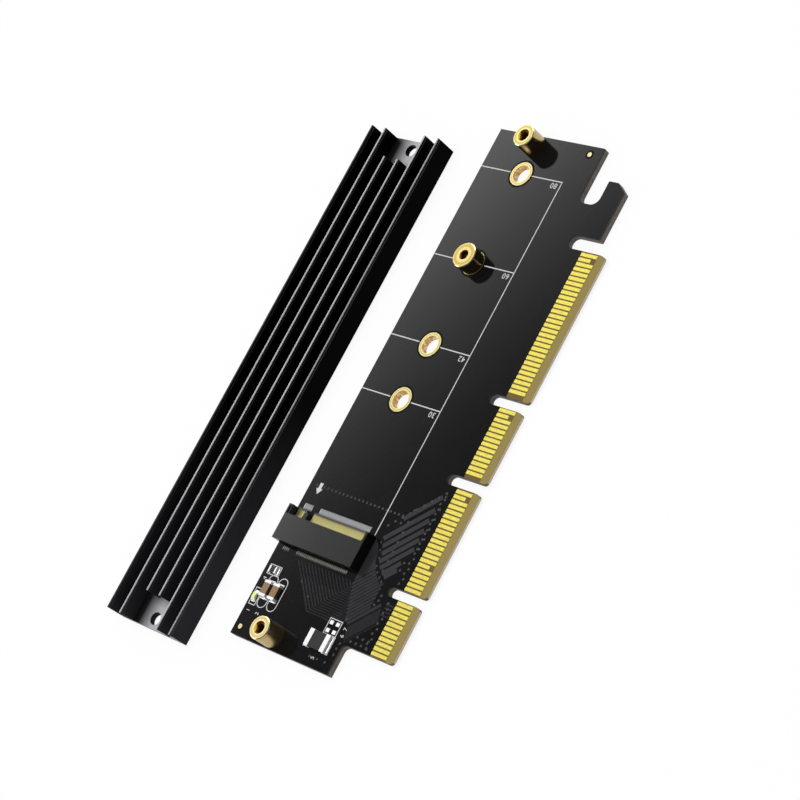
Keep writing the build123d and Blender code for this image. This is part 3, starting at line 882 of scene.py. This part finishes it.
# %% [markdown]
# ## Buried tracks
# Copper tracks under the paint show as bands that stand up by the copper's thickness. They run at 45
# degrees from the socket towards the contacts.

# %% Tracks
TRACK_LOW = BOARD_TOP - 0.01
TRACK_HIGH = BOARD_TOP + 0.03
SUPPLY_WIDTH = 1.0
POUR_WIDTH = 0.6
WIDE_POUR_WIDTH = 0.75
SIGNAL_WIDTH = 0.31


def tracks(paths, width):
    """Several raised tracks as one solid."""
    return merged([band(path, width, TRACK_LOW, TRACK_HIGH) for path in paths])


def diagonal(line, y_top, y_bottom):
    """A straight track down to the right at 45 degrees, on the line x + y = line."""
    return [(line - y_top, y_top), (line - y_bottom, y_bottom)]


# the supply bands on the right of the socket: the line that each follows, and where it starts and ends
BANDS = [(13.5, 11.6, 9.5), (14.9, 12.5, 9.4), (16.85, 13.6, 8.1), (18.8, 14.5, 8.1), (20.7, 14.9, 8.1),
         (22.8, 15.6, 8.1), (24.9, 16.3, 8.0), (27.4, 14.1, 7.8)]
piece("supply_bands", tracks([diagonal(*row) for row in BANDS], SUPPLY_WIDTH), mask_on_copper)

# the copper pour behind the socket's low end: close parallel tracks at 45 degrees
POUR_LINES = 7.1 + 0.95 * np.arange(11)


def pour_top(line):
    """Y at which the track on the line x + y = line widens into the pour."""
    return 13.26 + 0.28 * line


def pour_bottom(line):
    """Y at which it ends: level at first, and then rising along the supply bands' vias."""
    return 11.0 if line < 12.5 else 12.5 + 0.55 * (line - 13.5)


SOCKET_PLATE = [(-0.7, 17.9), (2.9, 14.3), (4.0, 15.3), (5.6, 15.8), (7.0, 16.5), (8.2, 17.9)]
PLANE = [(-11.6, 13.2), (-6.0, 7.6), (-3.5, 8.5), (-8.9, 13.9)]
pour = [tracks([diagonal(line, pour_top(line), pour_bottom(line)) for line in POUR_LINES], POUR_WIDTH),
        tracks([diagonal(6.0, 14.4, 8.9)], WIDE_POUR_WIDTH),
        plate(SOCKET_PLATE, TRACK_LOW, TRACK_HIGH)]
piece("copper_pour", merged(pour), mask_on_pour)
piece("copper_plane", plate(PLANE, TRACK_LOW, TRACK_HIGH), mask_on_plane)

# the signal tracks behind the socket: out of a tail, down, and across at 45 degrees to the pour
SIGNAL_TRACKS = 16
TAIL_X = -0.7
# for the tail's y, the column's x and the line x + y: the first track's value, and the change to the last
TAILS = (33.6, -15.4)
COLUMNS = (-9.1, 7.92)
LINES = (7.5, 9.35)
signal_tracks = []
for k in range(SIGNAL_TRACKS):
    tail_y, column, line = [start + change * k / SIGNAL_TRACKS for start, change in (TAILS, COLUMNS, LINES)]
    end = min(pour_top(line) + 0.1, line - column - 0.2)
    signal_tracks.append([(TAIL_X, tail_y), (column, tail_y - TAIL_X + column), (column, line - column),
                          (line - end, end)])
signal_tracks.append(diagonal(1.1, 13.1, 7.6))
signal_tracks += [[(x, 7.9), (x, 5.9)] for x in (-4.55, -3.85, -3.15, -2.45)]
piece("signal_tracks", tracks(signal_tracks, SIGNAL_WIDTH), mask_on_track)

# %% [markdown]
# The paint stops a little short of the plated holes' rings and of the round location marks. The bare laminate
# that is left is painted near-black as shade at the paint's edge, and shows as a thin dark outline.

# %% Clearings in the paint
CLEARING_WIDTH = 0.45
CLEARING_TOP = BOARD_TOP + 0.006
TUCKED = 0.03
RING_RADIUS = 2.575
MARK_RADIUS = 0.5
shaded_clearings = []
rounds = [(hole, RING_RADIUS) for hole in hole_centres] + [(mark, MARK_RADIUS) for mark in MARKS]
for centre, radius in rounds:
    inner = radius - TUCKED
    outer = radius + CLEARING_WIDTH
    loop = [(inner, TRACK_LOW), (outer, TRACK_LOW), (outer, CLEARING_TOP), (inner, CLEARING_TOP)]
    shaded_clearings.append(turned(loop, centre, 40, ring=True))
piece("shaded_clearings", merged(shaded_clearings), clearing_shade)

# %% [markdown]
# Plated holes that join the layers are filled and painted over: small round bumps with a dimple, in
# rows above the contacts, down the line beside the socket, and at the ends of the bands.

# %% Vias
VIA_PROFILE = [(0.3, TRACK_LOW), (0.24, TRACK_HIGH + 0.02), (0.13, TRACK_HIGH + 0.03), (0.05, TRACK_HIGH)]
via_places = [(13.8, 14.6 + 1.1 * k) for k in range(23) if k != 21]
via_places += [(-11.2, 7.2 + 1.4 * k) for k in range(4)] + [(-10.0, 7.4 + 1.5 * k) for k in range(3)]
via_places += [(11.2 + 1.15 * k, 16.8 - 1.18 * k) for k in range(9)]
via_places += [(-11.4 + 1.02 * k, 7.0 + 0.5 * (k % 2)) for k in range(31) if abs(-11.4 + 1.02 * k) > 1.5]
for line, y_top, y_bottom in BANDS:
    via_places += [(line - y_top - 0.9, y_top + 0.1), (line - y_bottom + 0.2, y_bottom - 0.7),
                   (line - 11.9, 12.6)]
via_places += [(-3.4, 10.5), (-2.4, 10.0), (-1.4, 9.9), (-7.7, 15.0), (-16.5, 19.0), (-16.5, 16.9),
               (-16.5, 14.8), (-14.6, 13.7), (-13.4, 13.8), (-12.3, 13.6), (-4.4, 30.0), (-6.6, 26.6)]
piece("vias", merged([turned(VIA_PROFILE, centre, 10) for centre in via_places]), mask_on_track, smooth=True)
print("vias:", len(via_places))

# %% [markdown]
# ## Solder
# On the socket's tails the solder is a low bead with a rounded back; against a chip's end it is a hollow
# fillet that climbs from the land.

# %% Solder on the socket's tails
TAIL_THICKNESS = 0.13
BEAD_LOW = BOARD_TOP - 0.005
BEAD_HEIGHT = TAIL_THICKNESS + 0.06
BEAD_WIDTH = 0.3
BEAD_INSET = 0.3
FRONT_BEAD = 1.2
REAR_BEAD = 1.0


def bead(x, y, length):
    """A low bead along x: its section is half an ellipse, and its height falls off at both ends."""
    angle = np.linspace(0, math.pi, 7)
    rows = np.array([(-1.0, 0.15), (-0.85, 0.75), (-0.6, 1.0), (0.6, 1.0), (0.85, 0.75), (1.0, 0.15)])
    points = np.empty((len(rows), len(angle), 3))
    points[:, :, 0] = x + rows[:, :1] * length / 2
    points[:, :, 1] = y + np.cos(angle) * BEAD_WIDTH / 2
    points[:, :, 2] = BEAD_LOW + BEAD_HEIGHT * rows[:, 1:] * np.sin(angle)
    return tube(points)


def row_of_beads(name, x, length):
    """A bead on each tail of a socket row."""
    return merged([bead(x, y, length) for y in contact_lines(name)])


front_end = node_box("socket_contacts_lower")[1][0]
rear_end = node_box("socket_contacts_upper")[0][0]
piece("solder_front_tails", row_of_beads("socket_contacts_lower", front_end - BEAD_INSET, FRONT_BEAD),
      dull_solder, smooth=True)
piece("solder_rear_tails", row_of_beads("socket_contacts_upper", rear_end + BEAD_INSET, REAR_BEAD),
      shaded_solder, smooth=True)

# %% Solder fillets at the chips
LAND_TOP = BOARD_TOP + 0.04
FILLET_SUNK = 0.05
FILLET_INSET = 0.03


def fillet(low, high, axis, side, reach, climb):
    """A fillet against one end of a chip. Its section is hollow: from the land, reach away from the end
    face, it curves up to climb on the face. Axis 0 is a chip along x and 1 a chip along y."""
    turn = np.linspace(0, math.pi / 2, 6)
    out = reach * (1 - np.sin(turn))
    up = climb * (1 - np.cos(turn))
    section = np.vstack([[(-FILLET_SUNK, 0.0)], np.column_stack([out, up]), [(-FILLET_SUNK, climb)]])
    across = np.array([-1.0, -0.9, -0.7, 0.7, 0.9, 1.0])
    swell = np.array([0.35, 0.75, 1.0, 1.0, 0.75, 0.35])
    middle = (low + high) / 2
    half = (high - low)[1 - axis] / 2 - FILLET_INSET
    face = high[axis] if side > 0 else low[axis]
    points = np.empty((len(across), len(section), 3))
    points[:, :, axis] = face + side * section[:, 0] * swell[:, None]
    points[:, :, 1 - axis] = middle[1 - axis] + (across * half)[:, None]
    points[:, :, 2] = LAND_TOP + section[:, 1] * swell[:, None]
    if (side > 0) == (axis == 0):
        points = points[::-1]
    return tube(points)


# node, axis, reach and climb
CHIP_ENDS = [("capacitor_ends_outer", 0, 0.34, 0.55), ("capacitor_ends_inner", 0, 0.34, 0.55),
             ("led_ends", 0, 0.3, 0.25), ("resistor_ends", 1, 0.3, 0.3), ("fuse_ends", 1, 0.25, 0.2)]
fillets = []
for name, axis, reach, climb in CHIP_ENDS:
    low, high = node_box(name)
    fillets += [fillet(low, high, axis, side, reach, climb) for side in (-1, 1)]
piece("solder_fillets", merged(fillets), solder, smooth=True)

# %% [markdown]
# ## Threads
# The tall supports are tapped for the heatsink's screws and the round nut for its stud. A thread is a
# helical ridge in the bore, one turn for each pitch.

# %% Threads
def thread(centre, radius, depth, pitch, bottom, top, steps=32):
    """The lining of a tapped bore. The radius falls from the bore's to depth less and back once per
    pitch of height, shifted by one pitch per turn of angle; a plain outer wall closes the ring."""
    heights = np.linspace(bottom, top, int((top - bottom) / pitch * 8) + 1)
    phase = (heights[:, None] / pitch - round_angles(steps) / (2 * math.pi)) % 1.0
    ridge = 1 - np.abs(2 * phase - 1)
    inner = radius - depth * np.clip(1.4 * ridge - 0.2, 0, 1)
    radii = np.vstack([inner, np.full((2, steps), radius + 0.03)])
    return tube(wrap(radii, np.append(heights, [top, bottom]), centre)[::-1], ring=True)


THREAD_DEPTH = 0.14
THREAD_PITCH = 0.45
# radius of the bore, and the levels at which the thread starts and ends
THREADS = {
    "heatsink_standoff_near": (1.025, 1.3, 5.65),
    "heatsink_standoff_far": (1.025, 1.3, 5.65),
    "module_clamp_nut": (1.05, 4.2, 4.85),
}
for name, (radius, bottom, top) in THREADS.items():
    lining = thread(node_centre(name), radius, THREAD_DEPTH, THREAD_PITCH, bottom, top)
    piece("thread_" + name, lining, brass[name][3], smooth=True)

# %% [markdown]
# ## Studio
# White paper that keeps a soft shadow, a white surround, and a broad soft light overhead. The board's
# mirror coat shows the far side of the room, where a white card stands low, and so the board brightens
# towards its far end.

# %% Floor
FLOOR_HALF = 3.0
FLOOR_LEVEL = -0.05 * MM
OWN_WHITE = 0.86


def floor_material():
    """White paper: matt, and evenly white to the camera, to metal and to glass except in the shadow."""
    material, tree, shader = new_material("white paper", {
        "Base Color": linear(0.92), "Roughness": 0.9, "Specular IOR Level": 0.1})
    rays = add(tree, "ShaderNodeLightPath").outputs
    seen = maths(tree, "MAXIMUM", rays["Is Camera Ray"], rays["Is Glossy Ray"])
    seen = maths(tree, "MAXIMUM", seen, rays["Is Transmission Ray"])
    share = maths(tree, "MULTIPLY", seen, OWN_WHITE)
    white = add(tree, "ShaderNodeEmission", {"Color": linear(1.0), "Strength": 1.0})
    mixed = add(tree, "ShaderNodeMixShader", links={
        0: share, 1: shader.outputs["BSDF"], 2: white.outputs[0]})
    output = next(node for node in tree.nodes if node.type == "OUTPUT_MATERIAL")
    tree.links.new(mixed.outputs[0], output.inputs["Surface"])
    return material


floor_mesh = bpy.data.meshes.new("floor")
corners = [(x * FLOOR_HALF, y * FLOOR_HALF, FLOOR_LEVEL) for x, y in ((-1, -1), (1, -1), (1, 1), (-1, 1))]
floor_mesh.from_pydata(corners, [], [(0, 1, 2, 3)])
floor_mesh.materials.append(floor_material())
floor = new_object("floor", floor_mesh)

# %% World
CARD_SIDE = (2.52, 4.0, -7.9)
CARD_LEVEL = 2.62
MATT_LIGHT = 0.55
GLOSS_LIGHT = 2.0


def studio_world():
    """White to the camera, an even pale light for matt surfaces, and for gloss a dark room with a white
    card low on the far side, whose edge is soft."""
    world = bpy.data.worlds.new("studio")
    world.use_nodes = True
    tree = world.node_tree
    tree.nodes.clear()
    direction = add(tree, "ShaderNodeTexCoord").outputs["Generated"]
    card = vectors(tree, "DOT_PRODUCT", direction, CARD_SIDE)["Value"]
    level = maths(tree, "ADD", card, CARD_LEVEL)
    gloss = ramp(tree, level, [(0.05, 0.05), (0.30, 0.065), (0.46, 0.155), (0.57, 0.26), (0.70, 0.42),
                               (0.80, 0.60), (0.93, 0.88), (1.0, 1.0)])
    rays = add(tree, "ShaderNodeLightPath").outputs
    matt, white = [add(tree, "ShaderNodeBackground", {"Color": linear(1.0), "Strength": strength})
                   for strength in (MATT_LIGHT, 1.0)]
    shiny = add(tree, "ShaderNodeBackground", {"Strength": GLOSS_LIGHT}, {"Color": gloss})
    first = add(tree, "ShaderNodeMixShader", links={
        0: rays["Is Glossy Ray"], 1: matt.outputs[0], 2: shiny.outputs[0]})
    seen = maths(tree, "MAXIMUM", rays["Is Camera Ray"], rays["Is Transmission Ray"])
    second = add(tree, "ShaderNodeMixShader", links={0: seen, 1: first.outputs[0], 2: white.outputs[0]})
    add(tree, "ShaderNodeOutputWorld", links={"Surface": second.outputs[0]})
    return world


bpy.context.scene.world = studio_world()
bpy.context.scene.view_settings.view_transform = "Standard"

# %% Overhead lamp
LAMP_AT = np.array((0.0, 0.10, 0.85))
LAMP_AIM = np.array((0.035, 0.035, 0.0))
light = bpy.data.lights.new("overhead_light", "AREA")
light.shape = "SQUARE"
light.size = 0.6
light.energy = 4.5
overhead = new_object("overhead_light", light)
away = LAMP_AT - LAMP_AIM
away /= np.linalg.norm(away)
overhead.location = LAMP_AT
overhead.rotation_euler = (0, math.acos(away[2]), math.atan2(away[1], away[0]))

# %% [markdown]
# ## Camera
# The camera's place and direction were solved from the photograph with the contact pitch as the scale:
# 0.47 m away, looking down at 43 degrees, and turned about its own axis by 52 degrees.

# %% Camera
# in its columns: what is right, up and back for the camera, and its place
CAMERA_MATRIX = Matrix(((0.46380319, 0.86700252, -0.18219008, -0.051543),
                        (-0.67312178, 0.21115211, -0.70874668, -0.305234),
                        (-0.57601534, 0.45135509, 0.6815313, 0.323682),
                        (0, 0, 0, 1)))
FOCAL_LENGTH = 112.755

camera_data = bpy.data.cameras.new("camera")
camera_data.sensor_width = 36.0
camera_data.lens = FOCAL_LENGTH
camera_data.clip_start = 0.01
camera_data.clip_end = 20.0
camera = new_object("camera", camera_data)
camera.matrix_world = CAMERA_MATRIX
bpy.context.scene.camera = camera
